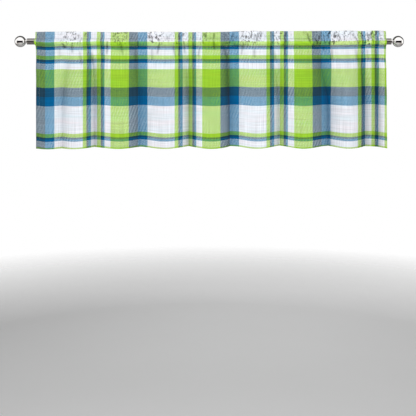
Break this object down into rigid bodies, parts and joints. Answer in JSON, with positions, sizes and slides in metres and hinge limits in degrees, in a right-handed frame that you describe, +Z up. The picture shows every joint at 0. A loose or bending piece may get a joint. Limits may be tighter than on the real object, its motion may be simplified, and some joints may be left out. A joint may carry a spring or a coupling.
{
  "type": "window valance on curtain rod",
  "caption": "Short window valance of plaid cloth with a rod pocket and a standing heading, hanging in soft folds from a plain curtain rod with ball finials.",
  "frame": {"origin": "middle of the curtain rod's axis", "axes": "+X along the rod towards its right end as seen from the front, +Y from the cloth's front towards the window, +Z up"},
  "size_m": [1.5234, 0.0529, 0.4635],
  "materials": {
    "plaid_cloth": "matte plain weave, plaid of lime, white, blue and slate",
    "polished_nickel": "polished nickel"
  },
  "bodies": {
    "root": {"valance_cloth": "plaid_cloth", "rod": "polished_nickel", "finial_left": "polished_nickel", "finial_right": "polished_nickel"}
  },
  "joints": []
}
